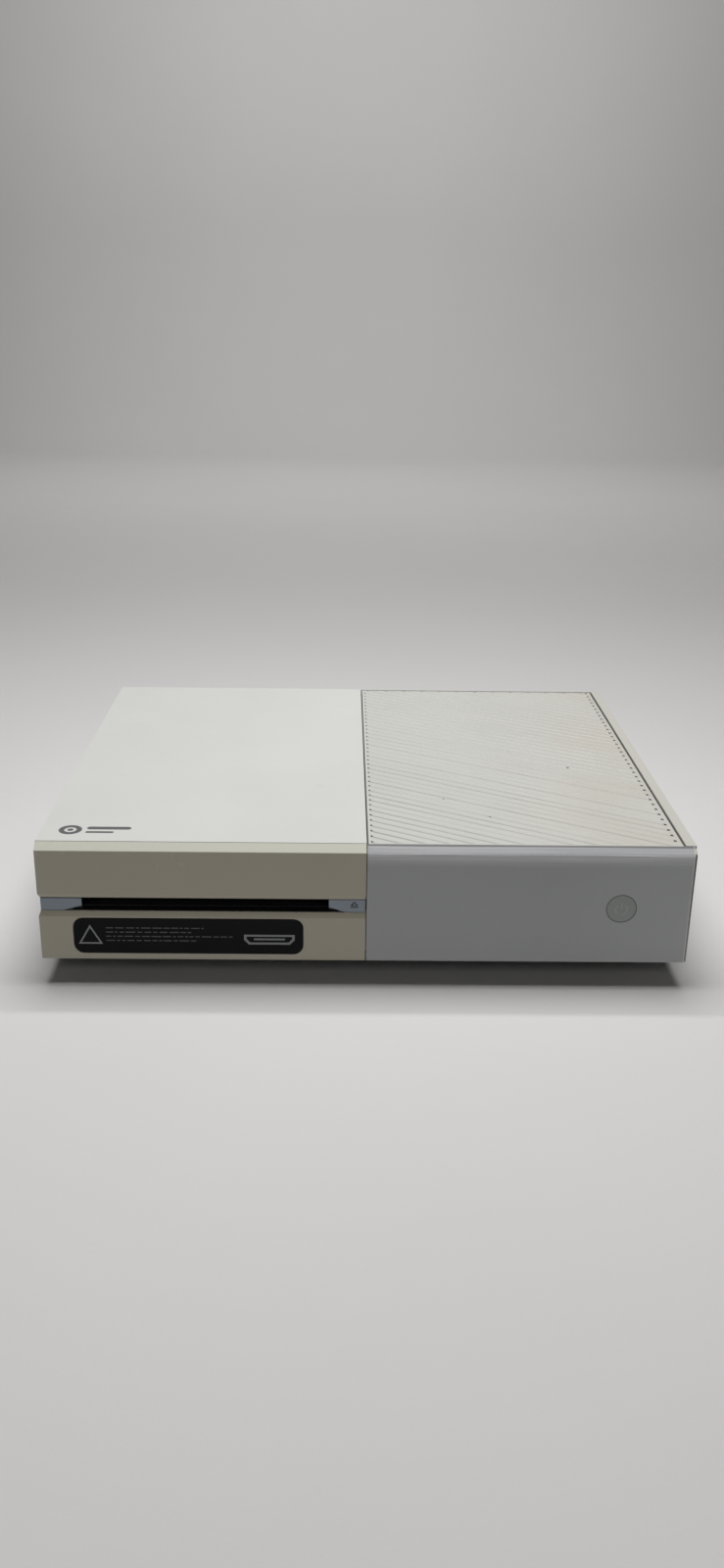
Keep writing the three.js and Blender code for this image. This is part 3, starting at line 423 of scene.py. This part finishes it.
# ---------------------------------------------------------------- louvred vents
def louvres(name, node, look, place, field, outer, top, thick, pitch, slot, slope, shift, phase=0.0, end=1.9, body="console"):
    """A vent panel: a frame, slanted ribs whose faces lean so that nothing shows straight through, and open notches at the rib ends.
    field and outer are (u0, u1, v0, v1); the ribs fall by slope per unit of u. place maps (u, v, w) to the row frame, w outwards."""
    u0, u1, v0, v1 = field
    o0, o1, p0, p1 = outer
    bm = bmesh.new()
    # ribs, cut to the field afterwards
    fall = slope * (u1 - u0)
    low = top - thick
    k = math.floor((v0 - pitch) / pitch) - 1
    ribs = []
    while True:
        v = k * pitch + phase
        k += 1
        if v > v1 + fall + pitch:
            break
        if v + pitch < v0 - 2:
            continue
        width = pitch - slot

        def edge(uu, off):
            return v + off - slope * (uu - u0)

        for a, b, w_low, lean in ((u0 - 0.2, u0 + end, top - thick * 0.45, 0.0), (u0 + end, u1 - end, low, shift), (u1 - end, u1 + 0.2, top - thick * 0.45, 0.0)):
            r = 0.28  # rounded upper edges
            section = [(0.0, top - r), (0.08, top - 0.3 * r), (r, top), (width - r, top), (width - 0.08, top - 0.3 * r), (width, top - r), (width - lean, w_low), (-lean, w_low)]
            A = [bm.verts.new(place(a, edge(a, s), w)) for s, w in section]
            B = [bm.verts.new(place(b, edge(b, s), w)) for s, w in section]
            n = len(section)
            bm.faces.new(A[::-1])
            bm.faces.new(B)
            for i in range(n):
                bm.faces.new((A[i], A[(i + 1) % n], B[(i + 1) % n], B[i]))
    bmesh.ops.recalc_face_normals(bm, faces=bm.faces)
    for vv, sign in ((v0, -1), (v1, 1)):
        p = Vector(place(0, vv + sign * 0.2, 0))
        n = Vector(place(0, sign, 0)) - Vector(place(0, 0, 0))
        bmesh.ops.bisect_plane(bm, geom=bm.verts[:] + bm.edges[:] + bm.faces[:], dist=1e-5, plane_co=p, plane_no=n, clear_outer=True)
        open_edges = [e for e in bm.edges if e.is_boundary]
        if open_edges:
            bmesh.ops.holes_fill(bm, edges=open_edges, sides=0)
    # frame round the ribs, with a rounded outer edge
    f = 0.35
    levels = [(0, low), (0, top + 0.05 - f), (0.12, top + 0.05 - 0.35 * f), (f, top + 0.05)]
    loops = []
    for inset, w in levels:
        loops.append([bm.verts.new(place(*p, w)) for p in ((o0 + inset, p0 + inset), (o1 - inset, p0 + inset), (o1 - inset, p1 - inset), (o0 + inset, p1 - inset))])
    for inset, w in ((0, top + 0.05), (0, low)):
        loops.append([bm.verts.new(place(*p, w)) for p in ((u0, v0), (u1, v0), (u1, v1), (u0, v1))])
    for a, b in zip(loops, loops[1:] + loops[:1]):
        for i in range(4):
            bm.faces.new((a[i], a[(i + 1) % 4], b[(i + 1) % 4], b[i]))
    o = finish_mesh(name, bm, look, body)
    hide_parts(node)
    return o


T30 = math.tan(math.radians(30))


def top_grille():
    """Top vent: broad slanted slats that close up to shallow grooves, each with a small opening at both of its ends
    whose walls are painted dark as painted shade.
    """
    lo, hi = (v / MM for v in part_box("top_vent_grille"))
    lo.x -= 0.35
    top, low = hi.z - 0.04, hi.z - 1.5
    u0, u1, v0, v1 = 1.95, 157.95, lo.y + 1.1, hi.y - 1.1
    cut_l, cut_r = 1.0, 1.3
    pitch = 7.2
    bm = bmesh.new()
    rnd = random.Random(3)

    def body(a, b, base, k, gap=2.3):
        edge = lambda x, off: base + off - T30 * x
        g = 0.62 + rnd.uniform(-0.12, 0.12)
        if k == "slat":
            section = [(0.02, low), (0.02, top - g), (0.85, top), (pitch - 0.85, top), (pitch - 0.02, top - g), (pitch - 0.02, low)]
        else:
            section = [(gap, low), (gap, top - 0.3), (gap + 0.1, top - 0.05), (gap + 0.3, top), (pitch - 0.2, top), (pitch - 0.08, top - 0.05), (pitch - 0.02, top - 0.2), (pitch - 0.02, low)]
        A = [bm.verts.new((a, edge(a, v), w)) for v, w in section]
        B = [bm.verts.new((b, edge(b, v), w)) for v, w in section]
        n = len(section)
        caps = [bm.faces.new(A[::-1]), bm.faces.new(B)]
        walls = [bm.faces.new((A[i], A[(i + 1) % n], B[(i + 1) % n], B[i])) for i in range(n)]
        # painted shade: the walls of each end notch and the slat ends facing into the notches get the dark felt, for
        # the shade down in the notch openings
        if k == "end":
            walls[0].material_index = walls[-2].material_index = 1
        else:
            for cap in caps:
                cap.material_index = 1

    k = int(v0 // pitch) - 2
    while k * pitch < v1 + T30 * u1 + pitch:
        base = k * pitch + 0.4
        k += 1
        if base - T30 * u0 + pitch < v0 and base + pitch < v0:
            continue
        body(u0 - 0.15, u0 + cut_l, base, "end", 1.7)
        body(u0 + cut_l, u1 - cut_r, base, "slat")
        body(u1 - cut_r, u1 + 0.15, base, "end", 2.0)
    bmesh.ops.recalc_face_normals(bm, faces=bm.faces)
    for vv, sign in ((v0, -1), (v1, 1)):
        bmesh.ops.bisect_plane(bm, geom=bm.verts[:] + bm.edges[:] + bm.faces[:], dist=1e-5, plane_co=(0, vv + sign * 0.15, 0), plane_no=(0, sign, 0), clear_outer=True)
        open_edges = [e for e in bm.edges if e.is_boundary]
        if open_edges:
            bmesh.ops.holes_fill(bm, edges=open_edges, sides=0)
    f = 0.3
    levels = [(0, low), (0, top + 0.04 - f), (0.1, top + 0.04 - 0.35 * f), (f, top + 0.04)]
    loops = []
    for inset, w in levels:
        loops.append([bm.verts.new(p) for p in ((lo.x + inset, lo.y + inset, w), (hi.x - inset, lo.y + inset, w), (hi.x - inset, hi.y - inset, w), (lo.x + inset, hi.y - inset, w))])
    for w in (top + 0.04, low):
        loops.append([bm.verts.new(p) for p in ((u0, v0, w), (u1, v0, w), (u1, v1, w), (u0, v1, w))])
    for p, q in zip(loops, loops[1:] + loops[:1]):
        for i in range(4):
            bm.faces.new((p[i], p[(i + 1) % 4], q[(i + 1) % 4], q[i]))
    # dark felt sheet below the openings: painted shade standing in for the dark inside of the vent
    before = set(bm.faces)
    prism(bm, [(lo.x + 0.2, lo.y + 0.2), (hi.x - 0.2, lo.y + 0.2), (hi.x - 0.2, hi.y - 0.2), (lo.x + 0.2, hi.y - 0.2)], low - 0.5, low - 0.02)
    for face in bm.faces:
        if face not in before:
            face.material_index = 1
    o = finish_mesh("top_vent_slats", bm, ["vent_white", "felt"], smooth_deg=25)
    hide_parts("top_vent_grille")


top_grille()
for node, side in (("side_vent_left", -1), ("side_vent_right", 1)):
    face = 166.2
    louvres(
        node + "_louvres", node, "vent_white",
        (lambda s: lambda u, v, w: (s * w, v, u))(side),
        (25.0, 65.7, -45.0, 113.0), (21.3, 69.4, -49.7, 117.7), face, 2.6, 7.2, 3.2, 0.6, 2.6,
    )
louvres("rear_vent_louvres", "rear_vent", "black_plastic", lambda u, v, w: (v, w, u), (52.5, 67.5, -136.0, 136.0), (50.3, 69.7, -139.7, 139.7), 136.7, 2.8, 8.0, 4.0, 0.5, 2.6)


# ---------------------------------------------------------------- protective film
def film():
    """Thin sheet over the right front, folded back over the chamfer, with shallow wrinkles pressed inwards."""
    lo, hi = (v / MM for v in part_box("front_film"))
    cx, cz, cr = 130.3, 45.5, 7.8
    yf = lo.y
    zt = 75.3
    yb = hi.y
    s = 3.7 / 4.0
    # stations along the section: (y, z, inward normal y, z)
    stations = []
    z = lo.z
    while z < zt - 0.6:
        stations.append((yf, z, 1, 0))
        z += 1.25
    for t in (0.0, 0.25, 0.5, 0.75, 1.0):  # rounded fold
        stations.append((yf + 0.18 * t * t, zt - 0.5 + 0.62 * t, 1, -0.5 * t))
    n_ch = 7
    for i in range(1, n_ch + 1):
        y = yf + 0.25 + (yb - yf - 0.25) * i / n_ch
        stations.append((y, zt + (y - yf) * s, 0.68, -0.73))
    xs = []
    x = 0.2
    while x < hi.x - 0.1:
        xs.append(x)
        x += 1.55
    xs.append(hi.x)
    rnd = random.Random(21)
    waves = [(rnd.uniform(0.02, 0.09), rnd.uniform(0.25, 0.9), rnd.uniform(0, 6.28), rnd.uniform(0.2, 1)) for _ in range(9)]

    def dent(x, k, z):
        h = 0
        for fx, fz, ph, amp in waves:
            h += amp * math.sin(fx * x * 6.28 * 0.35 + fz * z + ph)
        h = 0.5 + 0.5 * h / 5
        near_fold = max(0.0, 1 - abs(z - 75.3) / 4.5)
        creases = 0.5 + 0.5 * math.sin(z * 5.1 + 0.7 * math.sin(x * 0.05) + 0.4 * math.sin(x * 0.13))
        return min(0.24, 0.03 + 0.03 * h + 0.17 * near_fold * creases * (0.6 + 0.4 * math.sin(x * 0.045 + 1)))

    bm = bmesh.new()
    grid = {}
    T = 0.12
    for i, (y, z, ny, nz) in enumerate(stations):
        for j, x in enumerate(xs):
            d = dent(x, i, z) if 0 < i < len(stations) - 1 else 0.05
            for side in (0, 1):
                e = d + side * T
                grid[i, j, side] = bm.verts.new((x, y + ny * e, z + nz * e))
    cells = {}
    for i in range(len(stations) - 1):
        for j in range(len(xs) - 1):
            zc = (stations[i][1] + stations[i + 1][1]) / 2
            xc = (xs[j] + xs[j + 1]) / 2
            cells[i, j] = math.hypot(xc - cx, zc - cz) > cr + 0.9
    # pull the ring of vertices round the button on to a circle
    rim = set()
    for (i, j), keep in cells.items():
        if not keep:
            continue
        for di, dj in ((0, 0), (1, 0), (0, 1), (1, 1)):
            a, b = i + di, j + dj
            near = [(a - 1, b - 1), (a - 1, b), (a, b - 1), (a, b)]
            if any(c in cells and not cells[c] for c in near):
                rim.add((a, b))
    for a, b in rim:
        for side in (0, 1):
            v = grid[a, b, side]
            d = Vector((v.co.x - cx, v.co.z - cz))
            d.normalize()
            v.co.x, v.co.z = cx + d.x * cr, cz + d.y * cr
    used = set()
    for (i, j), keep in cells.items():
        if not keep:
            continue
        for side in (0, 1):
            q = [grid[i, j, side], grid[i, j + 1, side], grid[i + 1, j + 1, side], grid[i + 1, j, side]]
            bm.faces.new(q if side == 0 else q[::-1])
    edges = {}
    for (i, j), keep in cells.items():
        if keep:
            loop = [(i, j), (i, j + 1), (i + 1, j + 1), (i + 1, j)]
            for a, b in zip(loop, loop[1:] + loop[:1]):
                key = tuple(sorted((a, b)))
                edges.setdefault(key, []).append((a, b))
    for key, seen in edges.items():
        if len(seen) == 1:
            a, b = seen[0]
            bm.faces.new((grid[*a, 0], grid[*a, 1], grid[*b, 1], grid[*b, 0]))
    loose = [v for v in bm.verts if not v.link_faces]
    bmesh.ops.delete(bm, geom=loose, context="VERTS")
    o = finish_mesh("clear_film_sheet", bm, "clear_film", smooth_deg=60)
    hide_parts("front_film")
    return o


film()

# ---------------------------------------------------------------- printed marks, as thin inlays
INK = 0.03


def on_front(u, v, w):
    return (u, -137.0 - w, v)


def on_band(u, v, w):
    return (u, -136.0 - w, v)


def on_lid(u, v, w):
    return (u, v, 79.0 + w)


def stroke(bm, a, b, half, place, w0=0.002, w1=INK):
    """A straight line of the given half width with square ends."""
    d = Vector((b[0] - a[0], b[1] - a[1]))
    d.normalize()
    n = Vector((-d.y, d.x)) * half
    prism(bm, [(a[0] + n.x, a[1] + n.y), (a[0] - n.x, a[1] - n.y), (b[0] - n.x, b[1] - n.y), (b[0] + n.x, b[1] + n.y)], w0, w1, place)


# label: plain triangle outline, rows of dashes where small print would be, and a plain socket pictogram
bm = bmesh.new()
tri_o = [(-147.2, 23.4), (-134.8, 23.4), (-141.0, 34.3)]
cxy = (-141.0, 27.0)
tri_i = [(cxy[0] + (p[0] - cxy[0]) * 0.76, cxy[1] + (p[1] - cxy[1]) * 0.76) for p in tri_o]
ring(bm, tri_o, tri_i, 0.002, INK, on_front)
finish_mesh("label_triangle", bm, "print_grey")
bm = bmesh.new()
rnd = random.Random(5)
for row, (z, x_end) in enumerate(((32.6, -83.0), (30.2, -89.0), (27.8, -67.5), (25.4, -87.0))):
    x = -133.0
    while x < x_end:
        w = rnd.uniform(1.4, 5.2)
        w = min(w, x_end - x)
        if w > 0.8:
            prism(bm, [(x, z - 0.3), (x + w, z - 0.3), (x + w, z + 0.3), (x, z + 0.3)], 0.002, INK * 0.7, on_front)
        x += w + rnd.uniform(0.7, 1.1)
finish_mesh("label_print", bm, "print_dim")
bm = bmesh.new()
outer = [(-62.5, 29.2), (-62.5, 26.2), (-60.0, 23.6), (-39.0, 23.6), (-36.5, 26.2), (-36.5, 29.2)]
inner = [(-61.2, 28.1), (-61.2, 26.8), (-59.4, 24.8), (-39.6, 24.8), (-37.8, 26.8), (-37.8, 28.1)]
ring(bm, outer, inner, 0.002, INK, on_front)
prism(bm, [(-57.5, 26.1), (-41.5, 26.1), (-41.5, 27.1), (-57.5, 27.1)], 0.002, INK, on_front)
finish_mesh("label_pictogram", bm, "print_grey")

# eject mark: dark outlined triangle over a bar
bm = bmesh.new()
ring(bm, [(-8.1, 45.6), (-4.1, 45.6), (-6.1, 48.0)], [(-7.2, 46.0), (-5.0, 46.0), (-6.1, 47.3)], 0.002, INK, on_band)
prism(bm, [(-8.1, 44.5), (-4.1, 44.5), (-4.1, 45.0), (-8.1, 45.0)], 0.002, INK, on_band)
finish_mesh("eject_mark", bm, "label_black")

# dark ring filling the gap round the touch disc: painted shade standing in for the shade in that gap
bm = bmesh.new()
ring(bm, circle(130.3, 45.5, 7.85, 64), circle(130.3, 45.5, 7.57, 64), -0.55, -0.12, on_front)
finish_mesh("touch_gap_painted_shade", bm, "black_plastic")

# dark felt strips at the bottom of the joints round the vent and behind the lid's front edge: painted shade standing in
# for the shade down in these gaps
bm = bmesh.new()
for x0, x1, y0, y1, z0, z1 in ((-0.15, 0.85, -132.7, 135.65, 75.9, 77.0), (160.25, 161.15, -132.7, 135.65, 75.9, 77.6), (0.9, 160.2, 135.72, 135.97, 76.0, 77.9), (-166.2, -0.6, -133.12, -132.88, 76.0, 78.35)):
    prism(bm, [(x0, y0), (x1, y0), (x1, y1), (x0, y1)], z0, z1)
finish_mesh("joint_painted_shade_strips", bm, "felt")

# crumbs of dirt caught in the vent
rnd = random.Random(11)
bm = bmesh.new()
for x, y, size in ((119.7, -18, 0.75), (42.7, -70, 0.55), (65.7, -95, 0.5), (128.0, 44, 0.35), (88.0, 10, 0.3)):
    n = 7
    prism(bm, [(x + size * rnd.uniform(0.7, 1.2) * math.cos(6.283 * i / n), y + size * rnd.uniform(0.7, 1.3) * math.sin(6.283 * i / n)) for i in range(n)], 78.54, 78.62)
finish_mesh("vent_crumbs", bm, "print_dark")

# power mark, faint: open ring and a bar
bm = bmesh.new()
oc = circle(130.3, 45.1, 3.3, 30, 125, 415)
ic = circle(130.3, 45.1, 2.75, 30, 125, 415)
n = len(oc)
for i in range(n - 1):
    prism(bm, [oc[i], oc[i + 1], ic[i + 1], ic[i]], 0.002, INK, on_front)
bmesh.ops.remove_doubles(bm, verts=bm.verts, dist=1e-4)
prism(bm, [(130.0, 45.4), (130.6, 45.4), (130.6, 49.0), (130.0, 49.0)], 0.002, INK, on_front)
finish_mesh("power_mark", bm, "print_faint")

# lid mark: a plain disc icon and two bars
bm = bmesh.new()
ring(bm, circle(-151.5, -118.7, 5.9, 48), circle(-151.5, -118.7, 3.1, 48), 0.002, INK, on_lid)
prism(bm, circle(-151.5, -118.7, 1.6, 24), 0.002, INK, on_lid)
prism(bm, round_rect(-143.4, -120.8, -118.0, -114.4, 1.7, 5), 0.002, INK, on_lid)
prism(bm, round_rect(-143.4, -129.0, -122.6, -120.4, 1.05, 5), 0.002, INK, on_lid)
finish_mesh("lid_mark", bm, "print_dark")

# ---------------------------------------------------------------- small rounded edges on the CAD pieces
for node, width in {"upper_case": 0.35, "disc_bezel": 0.3, "power_panel": 0.3, "power_button": 0.25, "slot_end_left": 0.25, "eject_button": 0.25, "lower_case": 0.5, "rear_port_panel": 0.25}.items():
    bevelled(NODES[node], width)

# ---------------------------------------------------------------- floor and light
# pale sweep: a flat floor that rises to an upright back well behind the object
FOOT, CURVE = 2.2, 0.5
section = [(-6.0, 0.0), (-0.6, 0.0), (FOOT, 0.0)]
for i in range(1, 17):
    a = math.radians(90 * i / 16)
    section.append((FOOT + CURVE * math.sin(a), CURVE * (1 - math.cos(a))))
section.append((FOOT + CURVE, 5.0))
me = bpy.data.meshes.new("floor")
verts = [(x, y, z) for x in (-6.0, 6.0) for y, z in section]
k = len(section)
me.from_pydata(verts, [], [(i, k + i, k + i + 1, i + 1) for i in range(k - 1)])
for p in me.polygons:
    p.use_smooth = True
floor = bpy.data.objects.new("floor", me)
S.collection.objects.link(floor)
t = Tree("floor")
t.set(Base_Color=t.mix(t.remap(t.noise(3, 3), 0.35, 0.65, 0, 0.4), (0.69, 0.68, 0.676), (0.66, 0.65, 0.645)), Roughness=t.remap(t.noise(40), 0.3, 0.7, 0.82, 0.9))
t.bump(t.noise(500, 2), 0.00005)
me.materials.append(MATS["floor"])


def lamp(name, at, aim, size, power, tone=(1, 1, 1)):
    d = bpy.data.lights.new(name, "AREA")
    d.shape = "RECTANGLE"
    d.size, d.size_y = size
    d.energy = power
    d.color = tone
    o = bpy.data.objects.new(name, d)
    o.location = at
    o.rotation_euler = (Vector(aim) - Vector(at)).to_track_quat("-Z", "Y").to_euler()
    S.collection.objects.link(o)
    return o


lamp("overhead_soft", (0, 0.0, 1.2), (0, 0.0, 0), (0.9, 0.6), 10.1)
lamp("strip_front", (0, -0.12, 0.62), (0, -0.12, 0), (0.40, 0.02), 0.47)
lamp("strip_mid", (0, 0.08, 0.62), (0, 0.08, 0), (0.40, 0.02), 0.52)
lamp("strip_back", (0, 0.13, 0.8), (0, 0.13, 0), (0.5, 0.02), 0.75)
lamp("back_wash", (0, 1.5, 1.4), (0, 2.5, 0.2), (1.6, 0.6), 14)
lamp("fill_front", (0, -1.4, 0.9), (0, 0, 0), (0.8, 0.5), 2.5)
world = bpy.data.worlds.new("world")
S.world = world
world.use_nodes = True
bg = world.node_tree.nodes["Background"]
bg.inputs["Color"].default_value = (0.95, 0.97, 1.0, 1)
bg.inputs["Strength"].default_value = 0.004
